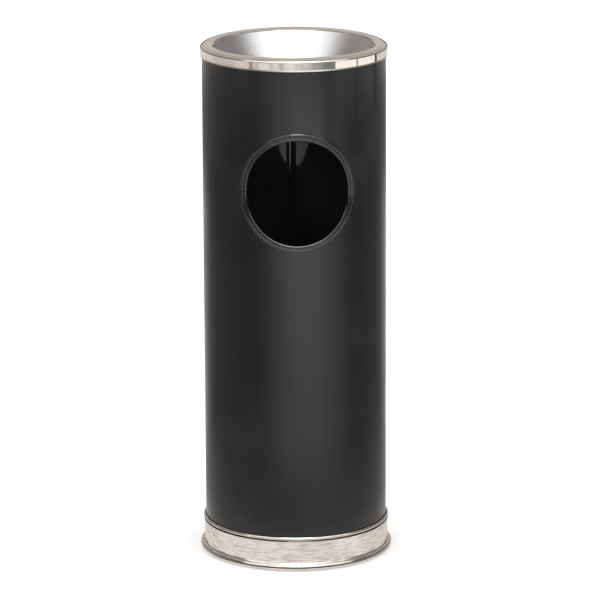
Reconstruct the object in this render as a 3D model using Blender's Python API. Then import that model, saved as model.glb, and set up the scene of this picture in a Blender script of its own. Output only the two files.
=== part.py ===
"""Ashtray bin: a slim black steel cylinder with a round waste opening, a lift-off ash bowl and a lift-out liner.

Blender 4.5 script. Metres, +Z up. The origin is on the floor under the middle of the bin, and the waste
opening faces -Y. Turned outlines are lists of (radius, height) points.
"""

import math

import bmesh
import bpy

# Driving dimensions.
HEIGHT = 0.648  # floor to the crest of the rim ring
BODY_RADIUS = 0.1143  # outside of the body shell, 9 in across
SHEET = 0.0010  # gauge of the pressed and rolled steel and of the spun bowl
LINER_SHEET = 0.0008
GAP = 0.0003  # air left between pieces that touch

# Fineness of the round shapes.
ROUND = 64  # sides of the body and of everything turned about its axis
LINER_ROUND = 48
SMALL_ROUND = 12  # sides of the fasteners
FOOT_ROUND = 16

# Base: feet, base ring, pan and what clamps them together.
FOOT_HEIGHT = 0.0065
FOOT_RADIUS = 0.0100
FOOT_CIRCLE = 0.0920
FOOT_ANGLES = (45, 135, 225, 315)
SCREW_RADIUS = 0.0025
SCREW_HOLE_RADIUS = 0.0028
CLAMP_Z = FOOT_HEIGHT + GAP + SHEET / 2
RING_FLANGE_Z = CLAMP_Z + SHEET + GAP
PAN_Z = RING_FLANGE_Z + SHEET + GAP
PAN_RIM_Z = 0.0185
LIP_RADIUS = 0.0031
LIP_CENTRE = (BODY_RADIUS + 0.0033, 0.0045)
BEAD_RADIUS = 0.0016
BEAD_CENTRE = (BODY_RADIUS + 0.0008, 0.0405)

# Body shell and its round opening, punched in the flat sheet before it was rolled.
SHELL_BOTTOM = PAN_Z - SHEET / 2
SHELL_TOP = 0.6427
LAP_HALF_ANGLE = 3.0  # degrees of the lapped seam at the back, each side of its middle
OPENING_Z = 0.4810
OPENING_CUT_RADIUS = 0.0679

# Lift-off top: rim ring, ash bowl and locating collar. The bowl's flange nests under the ring's crown.
CREST_RADIUS = 0.1062
CROWN_CURVE = 0.0140
CROWN_CENTRE = (CREST_RADIUS, HEIGHT - SHEET / 2 - CROWN_CURVE)
SHOULDER_CURVE = 0.0016
BAND_RADIUS = 0.1157
BAND_BOTTOM = 0.6325
MOUTH_RADIUS = 0.0997
MOUTH_ANGLE = math.degrees(math.acos((MOUTH_RADIUS - CREST_RADIUS) / CROWN_CURVE))
FLANGE_CURVE = CROWN_CURVE - SHEET - GAP
BOWL_FLOOR_Z = 0.5625
BOWL_WALL_TILT = 33  # degrees from vertical
COLLAR_HALF_WIDTH = 0.0043
COLLAR_DEPTH = 0.0210
STUD_ANGLES = (45, 135, 225, 315)
STUD_RADIUS = 0.0020
STUD_HOLE_RADIUS = 0.0024
STUD_HEAD_RADIUS = 0.0030
# The collar's plate touches the arched underside of the flange along both of its edges.
FLANGE_RISE = math.sqrt((FLANGE_CURVE - SHEET / 2) ** 2 - COLLAR_HALF_WIDTH**2)
COLLAR_Z = CROWN_CENTRE[1] + FLANGE_RISE - GAP - SHEET / 2

# Lift-out liner and its bail.
LINER_RADIUS = 0.1040
LINER_BOTTOM = PAN_Z + SHEET / 2 + GAP
LINER_TOP = 0.3520
LINER_FLOOR_Z = 0.0186
LINER_ROLL = 0.0014
EAR_SHEET = 0.0012
EAR_HALF_ANGLE = 7
EAR_LOW, EAR_HIGH = LINER_TOP - 0.0260, LINER_TOP + 0.0130
RIVET_DROPS = (0.0110, 0.0190)
RIVET_RADIUS = 0.0019
RIVET_HOLE_RADIUS = 0.0022
BAIL_PIVOT_Z = LINER_TOP + 0.0065
BAIL_WIRE = 0.0020  # radius of the wire
BAIL_RADIUS = LINER_RADIUS + 0.0014
BAIL_END = 0.0975
# The folded bail droops from its pivot, in degrees, until it meets the liner's rolled rim.
BAIL_DROOP = math.degrees(math.asin((BAIL_PIVOT_Z - LINER_TOP - BAIL_WIRE - GAP) / BAIL_RADIUS))

ON_AXIS = 1e-7


# ---------------------------------------------------------------- outlines


def arc(centre, radius, start, end, steps):
    """Points along an arc, in degrees: 0 points outwards along the radius and 90 points up."""
    angles = [math.radians(start + (end - start) * i / steps) for i in range(steps + 1)]
    return [(centre[0] + radius * math.cos(a), centre[1] + radius * math.sin(a)) for a in angles]


def thicken(line, thickness):
    """The closed outline of a sheet of this thickness that follows the line."""
    sides = ([], [])
    for i, (x, y) in enumerate(line):
        before, after = line[max(i - 1, 0)], line[min(i + 1, len(line) - 1)]
        directions = []
        for (ax, ay), (bx, by) in ((before, (x, y)), ((x, y), after)):
            length = math.hypot(bx - ax, by - ay)
            if length > 0:
                directions.append(((bx - ax) / length, (by - ay) / length))
        first, last = directions[0], directions[-1]
        nx, ny = -(first[1] + last[1]), first[0] + last[0]
        size = math.hypot(nx, ny)
        nx, ny = nx / size, ny / size
        reach = thickness / 2 / (nx * -first[1] + ny * first[0])
        sides[0].append((x + nx * reach, y + ny * reach))
        sides[1].append((x - nx * reach, y - ny * reach))
    return sides[0] + sides[1][::-1]


# ---------------------------------------------------------------- solids


def finish(name, colour, roughness, metallic):
    material = bpy.data.materials.new(name)
    material.use_nodes = True
    shader = material.node_tree.nodes["Principled BSDF"]
    shader.inputs["Base Color"].default_value = (*colour, 1)
    shader.inputs["Roughness"].default_value = roughness
    shader.inputs["Metallic"].default_value = metallic
    return material


def add_object(name, shape, material=None):
    """Makes an object of a bmesh, with its normals out and its round sides shaded smooth."""
    bmesh.ops.recalc_face_normals(shape, faces=shape.faces)
    mesh = bpy.data.meshes.new(name)
    shape.to_mesh(mesh)
    shape.free()
    mesh.shade_smooth()
    mesh.set_sharp_from_angle(angle=math.radians(35))
    made = bpy.data.objects.new(name, mesh)
    bpy.context.scene.collection.objects.link(made)
    if material:
        mesh.materials.append(material)
    return made


def bridge(shape, rings, closed):
    """Joins each ring of points to the next one; repeated poles give triangles."""
    pairs = list(zip(rings, rings[1:] + rings[:1] if closed else rings[1:]))
    for one, two in pairs:
        for i in range(len(one)):
            j = (i + 1) % len(one)
            corners = []
            for vertex in (one[i], one[j], two[j], two[i]):
                if vertex not in corners:
                    corners.append(vertex)
            if len(corners) > 2:
                shape.faces.new(corners)


def turned(name, outline, material, sides=ROUND, sector=None):
    """Turns a closed outline about the object's own Z axis: all the way, or over a sector in degrees."""
    shape = bmesh.new()
    poles = {i: shape.verts.new((0, 0, z)) for i, (r, z) in enumerate(outline) if r < ON_AXIS}
    first, last = sector or (0, 360)
    rings = []
    for step in range(sides + (1 if sector else 0)):
        angle = math.radians(first + (last - first) * step / sides)
        ring = []
        for i, (r, z) in enumerate(outline):
            point = (r * math.cos(angle), r * math.sin(angle), z)
            ring.append(poles.get(i) or shape.verts.new(point))
        rings.append(ring)
    bridge(shape, rings, closed=not sector)
    if sector:
        shape.faces.new(rings[0])
        shape.faces.new(rings[-1])
    return add_object(name, shape, material)


def tube_wall(name, stations, bottom, top, material):
    """An upright hollow prism. Each station is (angle in degrees, outer radius, inner radius)."""
    shape = bmesh.new()
    rings = []
    for degrees, outer, inner in stations:
        c, s = math.cos(math.radians(degrees)), math.sin(math.radians(degrees))
        corners = ((outer, bottom), (outer, top), (inner, top), (inner, bottom))
        rings.append([shape.verts.new((r * c, r * s, z)) for r, z in corners])
    bridge(shape, rings, closed=True)
    return add_object(name, shape, material)


def hexagon_nut(name, across_flats, thickness, bore, material):
    """A hexagon nut that hangs down from the object's origin."""
    stations = []
    for i in range(SMALL_ROUND):
        degrees = 30 * i
        outer = across_flats / 2 / (math.cos(math.radians(30)) if i % 2 == 0 else 1)
        stations.append((degrees, outer, bore))
    return tube_wall(name, stations, -thickness, 0, material)


def swept(name, path, section, material):
    """Sweeps a closed section along a path. path gives (place, first axis, second axis) frames."""
    shape = bmesh.new()
    rings = []
    for place, across, up in path:
        rings.append(
            [
                shape.verts.new([place[k] + across[k] * u + up[k] * v for k in range(3)])
                for u, v in section
            ]
        )
    bridge(shape, rings, closed=False)
    shape.faces.new(rings[0])
    shape.faces.new(rings[-1])
    return add_object(name, shape, material)


def pegs(name, radius, bottom, top, places, sides=SMALL_ROUND):
    """A cutter made of upright round pegs at these (x, y) places."""
    shape = bmesh.new()
    for x, y in places:
        ends = []
        for z in (bottom, top):
            angles = [2 * math.pi * i / sides for i in range(sides)]
            ends.append(
                [shape.verts.new((x + radius * math.cos(a), y + radius * math.sin(a), z)) for a in angles]
            )
        bridge(shape, ends, closed=False)
        shape.faces.new(ends[0])
        shape.faces.new(ends[1])
    return add_object(name, shape)


def block(name, low, high):
    """A cutter made of one upright block between two corners."""
    shape = bmesh.new()
    bmesh.ops.create_cube(shape, size=1)
    for vertex in shape.verts:
        vertex.co = [low[k] if vertex.co[k] < 0 else high[k] for k in range(3)]
    return add_object(name, shape)


def cut(piece, cutter):
    """Cuts the cutter out of the piece, and keeps the cutter as a hidden wire guide."""
    cutter.hide_render = True
    cutter.display_type = "WIRE"
    modifier = piece.modifiers.new(cutter.name, "BOOLEAN")
    modifier.operation = "DIFFERENCE"
    modifier.solver = "EXACT"
    modifier.object = cutter


def on_circle(radius, degrees):
    return (radius * math.cos(math.radians(degrees)), radius * math.sin(math.radians(degrees)))


def assembly(name, location=(0, 0, 0), parent=None):
    empty = bpy.data.objects.new(name, None)
    empty.location = location
    empty.parent = parent
    bpy.context.scene.collection.objects.link(empty)
    return empty


def place(piece, parent, location=(0, 0, 0), rotation=(0, 0, 0)):
    piece.parent = parent
    piece.location = location
    piece.rotation_euler = [math.radians(a) for a in rotation]
    return piece


# ---------------------------------------------------------------- base


def base_ring(parent, material):
    """A plinth of plated sheet: a bead at the top, a cove, a rolled lip, and a short flange under the body."""
    r = BODY_RADIUS
    flange = [(0.1062, RING_FLANGE_Z), (0.1112, RING_FLANGE_Z)]
    under_curl = [(r - 0.0006, 0.0066), (r + 0.0010, 0.0028)]
    lip = arc(LIP_CENTRE, LIP_RADIUS, -95, 100, 6)
    cove = [(r + 0.0017, 0.0088), (r + 0.0013, 0.0110), (r + 0.0012, 0.0230), (r + 0.0020, 0.0368)]
    groove = [(r + 0.0010, 0.0382)]
    bead = arc(BEAD_CENTRE, BEAD_RADIUS, -70, 90, 4)
    line = [*flange, *under_curl, *lip, *cove, *groove, *bead]
    place(turned("base_ring", thicken(line, SHEET), material), parent)


def clamp_ring(parent, material):
    """A flat steel ring above the feet, whose outer edge holds the base ring's flange up against the body."""
    low, high = CLAMP_Z - SHEET / 2, CLAMP_Z + SHEET / 2
    outline = [(0.0780, low), (0.1098, low), (0.1098, high), (0.0780, high)]
    piece = place(turned("clamp_ring", outline, material), parent)
    places = [on_circle(FOOT_CIRCLE, a) for a in FOOT_ANGLES]
    cut(piece, pegs("clamp_holes", SCREW_HOLE_RADIUS, 0.0050, 0.0095, places))


def base_pan(parent, material):
    """The pressed floor of the body. Its rim turns up inside the shell and is notched at the lapped seam."""
    rim_radius = BODY_RADIUS - SHEET - GAP - 0.0001 - SHEET / 2
    corner = arc((rim_radius - 0.0015, PAN_Z + 0.0015), 0.0015, -90, 0, 3)
    line = [(0, PAN_Z), *corner, (rim_radius, PAN_RIM_Z)]
    piece = place(turned("base_pan", thicken(line, SHEET), material), parent)
    places = [on_circle(FOOT_CIRCLE, a) for a in FOOT_ANGLES]
    cut(piece, pegs("pan_holes", SCREW_HOLE_RADIUS, 0.0070, 0.0130, places))
    lap = BODY_RADIUS - 2 * SHEET
    cut(piece, block("pan_notch", (-0.0064, lap - 0.0008, 0.0050), (0.0064, lap + 0.0040, 0.0300)))


def feet(parent, rubber, zinc):
    """Four rubber feet, each held by a screw with a washer under its head and a nut inside the pan."""
    recess_radius, recess_top = 0.0056, FOOT_HEIGHT - 0.0020
    foot = [
        (recess_radius, 0),
        (FOOT_RADIUS - 0.0018, 0),
        (FOOT_RADIUS - 0.0010, 0.0006),
        (FOOT_RADIUS, FOOT_HEIGHT),
        (SCREW_HOLE_RADIUS, FOOT_HEIGHT),
        (SCREW_HOLE_RADIUS, recess_top),
        (recess_radius, recess_top),
    ]
    washer_top, washer_bottom = recess_top - GAP, recess_top - GAP - 0.0008
    washer = [
        (SCREW_HOLE_RADIUS, washer_bottom),
        (0.0052, washer_bottom),
        (0.0052, washer_top),
        (SCREW_HOLE_RADIUS, washer_top),
    ]
    head_top, screw_end = washer_bottom - GAP, PAN_Z + 0.0064
    head_bottom = head_top - 0.0020
    screw = [
        (0, head_bottom),
        (0.0036, head_bottom),
        (0.0046, head_bottom + 0.0008),
        (0.0046, head_top),
        (SCREW_RADIUS, head_top),
        (SCREW_RADIUS, screw_end - 0.0006),
        (SCREW_RADIUS - 0.0006, screw_end),
        (0, screw_end),
    ]
    nut_bottom, nut_thickness = PAN_Z + SHEET / 2 + GAP, 0.0040
    for number, angle in enumerate(FOOT_ANGLES, 1):
        spot = (*on_circle(FOOT_CIRCLE, angle), 0)
        place(turned(f"foot_{number}", foot, rubber, FOOT_ROUND), parent, spot)
        place(turned(f"foot_washer_{number}", washer, zinc, SMALL_ROUND), parent, spot)
        place(turned(f"foot_screw_{number}", screw, zinc, SMALL_ROUND), parent, spot)
        nut = hexagon_nut(f"foot_nut_{number}", 0.0080, nut_thickness, SCREW_HOLE_RADIUS, zinc)
        place(nut, parent, (spot[0], spot[1], nut_bottom + nut_thickness))


# ---------------------------------------------------------------- body


def wrapped(u, v, n):
    """A point of the flat sheet, u along its width and v up it, on the rolled body, n out from its surface."""
    angle = u / BODY_RADIUS
    radius = BODY_RADIUS + n
    return (radius * math.sin(angle), -radius * math.cos(angle), v)


def opening_cutter():
    """The punch of the waste opening, wrapped around the body as the sheet was."""
    shape = bmesh.new()
    caps = []
    for depth in (-0.006, 0.006):
        angles = [2 * math.pi * i / ROUND for i in range(ROUND)]
        ring = [
            shape.verts.new(
                wrapped(
                    OPENING_CUT_RADIUS * math.sin(a), OPENING_Z + OPENING_CUT_RADIUS * math.cos(a), depth
                )
            )
            for a in angles
        ]
        middle = shape.verts.new(wrapped(0, OPENING_Z, depth))
        for i in range(ROUND):
            shape.faces.new((ring[i], ring[(i + 1) % ROUND], middle))
        caps.append(ring)
    bridge(shape, caps, closed=False)
    return add_object("opening_cutter", shape)


def body_shell(parent, material):
    """Rolled sheet with a lapped seam at the back: a second thickness inside, and a fine groove outside."""
    outer, inner = BODY_RADIUS, BODY_RADIUS - SHEET
    back = 90
    step, groove = 0.08, 0.12  # degrees taken by the lap's edges and by the groove at the sheet's end
    stations = [(360 * i / ROUND, outer, inner) for i in range(ROUND)]
    stations = [s for s in stations if abs(s[0] - back) > LAP_HALF_ANGLE + 1]
    low, high = back - LAP_HALF_ANGLE, back + LAP_HALF_ANGLE
    lapped = inner - SHEET
    stations += [
        (low - step, outer, inner),
        (low, outer, lapped),
        (back, outer, lapped),
        (high - groove, outer, lapped),
        (high, outer - 0.4 * SHEET, lapped),
        (high + step, outer - 0.4 * SHEET, inner),
        (high + step + groove, outer, inner),
    ]
    shell = tube_wall("body_shell", sorted(stations), SHELL_BOTTOM, SHELL_TOP, material)
    cut(place(shell, parent), opening_cutter())


def opening_trim(parent, material):
    """A vinyl U-section pushed over the edge of the opening, its ends butted at the left."""
    air, wall, reach = GAP, 0.0017, 0.0070
    front, rear = air + wall, -SHEET - air - wall
    nose = -air - 0.0020
    # (distance out from the cut edge, height above the sheet's outer face); a groove parts leg and nose
    section = [
        (reach - 0.0006, air),
        (reach, air + 0.0006),
        (reach - 0.0006, front - 0.0003),
        (reach - 0.0022, front + 0.0004),
        (0.0028, front),
        (0.0018, front - 0.0005),
        (0.0008, front + 0.0001),
        (-0.0012, front - 0.0001),
        (nose, front - 0.0012),
        (nose, rear + 0.0014),
        (-0.0012, rear + 0.0002),
        (0.0010, rear - 0.0001),
        (reach - 0.0014, rear + 0.0002),
        (reach - 0.0008, -SHEET - air),
        (-air, -SHEET - air),
        (-air, air),
    ]
    joint, steps = 0.25, 56  # half of the open angle at the butt joint, in degrees
    shape = bmesh.new()
    rings = []
    for i in range(steps + 1):
        angle = math.radians(-90 + joint + (360 - 2 * joint) * i / steps)
        ring = []
        for out, height in section:
            radius = OPENING_CUT_RADIUS + out
            spot = wrapped(radius * math.sin(angle), OPENING_Z + radius * math.cos(angle), height)
            ring.append(shape.verts.new(spot))
        rings.append(ring)
    bridge(shape, rings, closed=False)
    shape.faces.new(rings[0])
    shape.faces.new(rings[-1])
    place(add_object("opening_trim", shape, material), parent)


# ---------------------------------------------------------------- lift-off top


def rim_ring(parent, material):
    """A plated cap ring: a crowned top, a round shoulder and an outer band that slips over the shell."""
    reach = CROWN_CURVE - SHOULDER_CURVE
    shoulder_angle = math.degrees(math.acos((BAND_RADIUS - SHOULDER_CURVE - CREST_RADIUS) / reach))
    shoulder = arc(CROWN_CENTRE, reach, shoulder_angle, shoulder_angle, 1)[0]
    line = [
        *arc(CROWN_CENTRE, CROWN_CURVE, MOUTH_ANGLE, shoulder_angle, 5)[:-1],
        *arc(shoulder, SHOULDER_CURVE, shoulder_angle, 0, 3),
        (BAND_RADIUS, BAND_BOTTOM),
    ]
    place(turned("rim_ring", thicken(line, SHEET), material), parent)


def ash_bowl(parent, material):
    """A spun bowl: an arched flange that rests on the shell, a steep cone and a flat floor."""
    mouth_curve, floor_curve = 0.0020, 0.0060
    tilt = math.radians(BOWL_WALL_TILT)
    flange_end = math.degrees(math.acos((BODY_RADIUS - 0.0002 - CREST_RADIUS) / FLANGE_CURVE))
    mouth = arc(CROWN_CENTRE, FLANGE_CURVE - mouth_curve, MOUTH_ANGLE, MOUTH_ANGLE, 1)[0]
    mouth_arc = arc(mouth, mouth_curve, MOUTH_ANGLE, 180 - BOWL_WALL_TILT, 2)
    drop = mouth_arc[-1][1] - (BOWL_FLOOR_Z + floor_curve * (1 - math.sin(tilt)))
    wall_end = mouth_arc[-1][0] - drop * math.tan(tilt)
    floor = (wall_end - floor_curve * math.cos(tilt), BOWL_FLOOR_Z + floor_curve)
    line = [
        *arc(CROWN_CENTRE, FLANGE_CURVE, flange_end, MOUTH_ANGLE, 5)[:-1],
        *mouth_arc,
        *arc(floor, floor_curve, -BOWL_WALL_TILT, -90, 3),
        (0, BOWL_FLOOR_Z),
    ]
    piece = place(turned("ash_bowl", thicken(line, SHEET), material), parent)
    places = [on_circle(CREST_RADIUS, a) for a in STUD_ANGLES]
    cut(piece, pegs("bowl_holes", STUD_HEAD_RADIUS + GAP, COLLAR_Z, HEIGHT, places))


def locating_collar(parent, material):
    """An L-section collar under the bowl's flange, which centres the top inside the shell."""
    leg_radius = BODY_RADIUS - SHEET - 0.0018
    line = [
        (CREST_RADIUS - COLLAR_HALF_WIDTH, COLLAR_Z),
        (leg_radius - 0.0010, COLLAR_Z),
        (leg_radius, COLLAR_Z - 0.0010),
        (leg_radius, COLLAR_Z - COLLAR_DEPTH),
    ]
    piece = place(turned("locating_collar", thicken(line, SHEET), material), parent)
    places = [on_circle(CREST_RADIUS, a) for a in STUD_ANGLES]
    cut(piece, pegs("collar_holes", STUD_HOLE_RADIUS, COLLAR_Z - SHEET, COLLAR_Z + SHEET, places))


def rim_studs(parent, zinc):
    """Studs welded under the rim ring's crown, with nuts that clamp the bowl and the collar to it."""
    head_top = HEIGHT - SHEET - 2 * GAP
    head_bottom = head_top - 0.0007
    stud_end = COLLAR_Z - 0.0068
    stud = [
        (0, stud_end),
        (STUD_RADIUS - 0.0005, stud_end),
        (STUD_RADIUS, stud_end + 0.0005),
        (STUD_RADIUS, head_bottom),
        (STUD_HEAD_RADIUS, head_bottom),
        (STUD_HEAD_RADIUS, head_top),
        (0, head_top),
    ]
    nut_top = COLLAR_Z - SHEET / 2 - GAP
    for number, angle in enumerate(STUD_ANGLES, 1):
        x, y = on_circle(CREST_RADIUS, angle)
        place(turned(f"rim_stud_{number}", stud, zinc, SMALL_ROUND), parent, (x, y, 0))
        nut = hexagon_nut(f"rim_nut_{number}", 0.0070, 0.0032, STUD_HOLE_RADIUS, zinc)
        place(nut, parent, (x, y, nut_top), (0, 0, angle))


# ---------------------------------------------------------------- liner


def liner_wall(parent, material):
    """A straight steel wall with its top edge rolled outwards."""
    middle = LINER_RADIUS - LINER_SHEET / 2
    roll_centre = (middle + LINER_ROLL, LINER_TOP - LINER_ROLL - LINER_SHEET / 2)
    line = [(middle, LINER_BOTTOM), *arc(roll_centre, LINER_ROLL, 180, -90, 6)]
    piece = turned("liner_wall", thicken(line, LINER_SHEET), material, LINER_ROUND)
    return place(piece, parent)


def liner_bottom(parent, material):
    """A raised floor with a skirt turned down inside the wall, which leaves room for the foot nuts."""
    skirt = LINER_RADIUS - LINER_SHEET - GAP - LINER_SHEET / 2
    corner = arc((skirt - 0.0015, LINER_FLOOR_Z - 0.0015), 0.0015, 90, 0, 3)
    line = [(0, LINER_FLOOR_Z), *corner, (skirt, LINER_BOTTOM + GAP)]
    place(turned("liner_bottom", thicken(line, LINER_SHEET), material, LINER_ROUND), parent)


def liner_ears(parent, wall, material):
    """Two ears riveted inside the wall. The bail hooks through the hole above the rim."""
    outer = LINER_RADIUS - LINER_SHEET - GAP
    inner = outer - EAR_SHEET
    outline = [(inner, EAR_LOW), (outer, EAR_LOW), (outer, EAR_HIGH), (inner, EAR_HIGH)]
    head, shank, bulge = 0.0036, RIVET_RADIUS, 0.0012
    near, far = inner - GAP, LINER_RADIUS + GAP
    rivet = [
        (0, near - bulge),
        (head - 0.0012, near - bulge),
        (head, near - 0.0004),
        (head, near),
        (shank, near),
        (shank, far),
        (head, far),
        (head, far + 0.0004),
        (head - 0.0012, far + bulge),
        (0, far + bulge),
    ]
    rivet_number = 1
    for side, turn in (("left", 180), ("right", 0)):
        sign = 1 if turn == 0 else -1
        sector = (turn - EAR_HALF_ANGLE, turn + EAR_HALF_ANGLE)
        ear = place(turned(f"liner_ear_{side}", outline, material, 4, sector), parent)
        hole = pegs(f"pivot_hole_{side}", BAIL_WIRE + 0.0005, -0.006, 0.006, [(0, 0)])
        cut(ear, place(hole, parent, (sign * outer, 0, BAIL_PIVOT_Z), (0, 90, 0)))
        for drop in RIVET_DROPS:
            height = LINER_TOP - drop
            punch = pegs(f"rivet_hole_{rivet_number}", RIVET_HOLE_RADIUS, -0.006, 0.006, [(0, 0)])
            place(punch, parent, (sign * outer, 0, height), (0, 90, 0))
            cut(ear, punch)
            cut(wall, punch)
            piece = turned(f"ear_rivet_{rivet_number}", rivet, material, SMALL_ROUND)
            place(piece, parent, (0, 0, height), (0, sign * 90, 0))
            rivet_number += 1


def liner_bail(pivot, material):
    """A wire handle, modelled level about its pivot and pointing to the back, with a hook at each end."""
    bend, bend_steps, arc_steps = 0.0030, 3, 28
    corner = math.degrees(bend / BAIL_RADIUS)
    half = [(BAIL_END, 0)]
    for i in range(bend_steps + 1):
        a = math.radians(-90 + 90 * i / bend_steps)
        half.append((BAIL_RADIUS - bend + bend * math.cos(a), bend + bend * math.sin(a)))
    sweep = [corner + (180 - 2 * corner) * i / arc_steps for i in range(1, arc_steps)]
    bow = [on_circle(BAIL_RADIUS, a) for a in sweep]
    line = half + bow + [(-x, y) for x, y in reversed(half)]
    path = []
    for i, (x, y) in enumerate(line):
        before, after = line[max(i - 1, 0)], line[min(i + 1, len(line) - 1)]
        dx, dy = after[0] - before[0], after[1] - before[1]
        size = math.hypot(dx, dy)
        path.append(((x, y, 0), (-dy / size, dx / size, 0), (0, 0, 1)))
    section = [on_circle(BAIL_WIRE, 45 * i) for i in range(8)]
    place(swept("liner_bail", path, section, material), pivot)


# ---------------------------------------------------------------- the bin


def main():
    for item in list(bpy.data.objects):
        bpy.data.objects.remove(item)

    black_paint = finish("black_paint", (0.012, 0.012, 0.012), 0.28, 0.0)
    nickel = finish("nickel_plate", (0.78, 0.74, 0.69), 0.14, 1.0)
    aluminium = finish("satin_aluminium", (0.72, 0.72, 0.72), 0.34, 1.0)
    galvanised = finish("galvanised_steel", (0.55, 0.57, 0.58), 0.42, 1.0)
    vinyl = finish("black_vinyl", (0.018, 0.017, 0.016), 0.38, 0.0)
    rubber = finish("black_rubber", (0.020, 0.020, 0.020), 0.70, 0.0)
    zinc = finish("zinc_plate", (0.60, 0.60, 0.58), 0.30, 1.0)

    body = assembly("body")
    body_shell(body, black_paint)
    opening_trim(body, vinyl)
    base_ring(body, nickel)
    clamp_ring(body, zinc)
    base_pan(body, black_paint)
    feet(body, rubber, zinc)

    ash_top = assembly("ash_top_slide", parent=body)
    rim_ring(ash_top, nickel)
    ash_bowl(ash_top, aluminium)
    locating_collar(ash_top, black_paint)
    rim_studs(ash_top, zinc)

    liner = assembly("liner_slide", parent=body)
    wall = liner_wall(liner, galvanised)
    liner_bottom(liner, galvanised)
    liner_ears(liner, wall, galvanised)
    pivot = assembly("bail_pivot", (0, 0, BAIL_PIVOT_Z), liner)
    pivot.rotation_euler = (math.radians(-BAIL_DROOP), 0, 0)
    liner_bail(pivot, zinc)


main()
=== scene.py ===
import math

import bmesh
import bpy
from mathutils import Matrix


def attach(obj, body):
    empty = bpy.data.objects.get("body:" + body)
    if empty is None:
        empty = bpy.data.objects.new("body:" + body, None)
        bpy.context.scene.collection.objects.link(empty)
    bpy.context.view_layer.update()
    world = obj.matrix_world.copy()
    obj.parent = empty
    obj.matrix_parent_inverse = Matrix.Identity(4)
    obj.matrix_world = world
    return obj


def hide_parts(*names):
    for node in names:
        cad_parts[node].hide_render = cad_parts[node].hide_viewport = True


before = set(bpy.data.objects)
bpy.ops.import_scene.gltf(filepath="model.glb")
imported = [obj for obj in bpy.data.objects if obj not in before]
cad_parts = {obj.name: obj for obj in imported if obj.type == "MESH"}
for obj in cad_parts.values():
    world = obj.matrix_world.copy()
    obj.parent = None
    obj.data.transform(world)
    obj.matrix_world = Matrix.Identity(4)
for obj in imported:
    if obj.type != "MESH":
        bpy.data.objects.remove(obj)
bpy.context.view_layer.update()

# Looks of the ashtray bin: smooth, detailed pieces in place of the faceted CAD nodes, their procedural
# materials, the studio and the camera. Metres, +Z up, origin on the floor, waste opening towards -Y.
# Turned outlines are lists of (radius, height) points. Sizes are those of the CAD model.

# Driving dimensions.
HEIGHT = 0.648
BODY_RADIUS = 0.1143
SHEET = 0.0010
LINER_SHEET = 0.0008
GAP = 0.0003

# Fineness.
ROUND = 192
SMALL_ROUND = 48
SHARP = math.radians(35)

# Base.
FOOT_HEIGHT = 0.0065
FOOT_RADIUS = 0.0100
FOOT_CIRCLE = 0.0920
FOOT_ANGLES = (45, 135, 225, 315)
SCREW_RADIUS = 0.0025
SCREW_HOLE_RADIUS = 0.0028
SCREW_PITCH = 0.0008
CLAMP_Z = FOOT_HEIGHT + GAP + SHEET / 2
RING_FLANGE_Z = CLAMP_Z + SHEET + GAP
PAN_Z = RING_FLANGE_Z + SHEET + GAP
PAN_RIM_Z = 0.0185
LIP_RADIUS = 0.0031
LIP_CENTRE = (BODY_RADIUS + 0.0033, 0.0045)
BEAD_RADIUS = 0.0016
BEAD_CENTRE = (BODY_RADIUS + 0.0008, 0.0405)
# Heights of the painted shade lines on the plinth: dark colour bands that stand for the shadow round the
# lip's widest part and in the groove under the bead.
PLINTH_PAINTED_SHADE = ((0.0037, 0.0048), (0.0370, 0.0388))

# Body.
SHELL_BOTTOM = PAN_Z - SHEET / 2
SHELL_TOP = 0.6427
LAP_HALF_ANGLE = 3.0
LAP_RADIUS = BODY_RADIUS - 2 * SHEET
SEAM_OFFSET = 0.8
# One half of the thin weld bead along the lap: (degrees from its middle, rise).
SEAM_BEAD = ((0.34, 0), (0.27, 0.00016), (0.14, 0.00025))
SEAM_BEAD_RISE = 0.00028
OPENING_Z = 0.4810
OPENING_CUT_RADIUS = 0.0679
TRIM_WALL = 0.0017
TRIM_REACH = 0.0070
# The flat face of the trim, in distances from the opening's axis.
TRIM_FACE = (OPENING_CUT_RADIUS + 0.0014, OPENING_CUT_RADIUS + 0.0046)

# Top. The bowl's flange nests under the ring's crown.
CREST_RADIUS = 0.1062
CROWN_CURVE = 0.0140
CROWN_CENTRE = (CREST_RADIUS, HEIGHT - SHEET / 2 - CROWN_CURVE)
SHOULDER_CURVE = 0.0016
BAND_RADIUS = 0.1157
BAND_BOTTOM = 0.6325
MOUTH_RADIUS = 0.0997
MOUTH_ANGLE = math.degrees(math.acos((MOUTH_RADIUS - CREST_RADIUS) / CROWN_CURVE))
FLANGE_CURVE = CROWN_CURVE - SHEET - GAP
BOWL_FLOOR_Z = 0.5625
BOWL_WALL_TILT = 33
COLLAR_HALF_WIDTH = 0.0043
COLLAR_DEPTH = 0.0210
STUD_ANGLES = (45, 135, 225, 315)
STUD_RADIUS = 0.0020
STUD_HOLE_RADIUS = 0.0024
STUD_HEAD_RADIUS = 0.0030
STUD_PITCH = 0.0007
FLANGE_RISE = math.sqrt((FLANGE_CURVE - SHEET / 2) ** 2 - COLLAR_HALF_WIDTH**2)
COLLAR_Z = CROWN_CENTRE[1] + FLANGE_RISE - GAP - SHEET / 2

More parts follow.
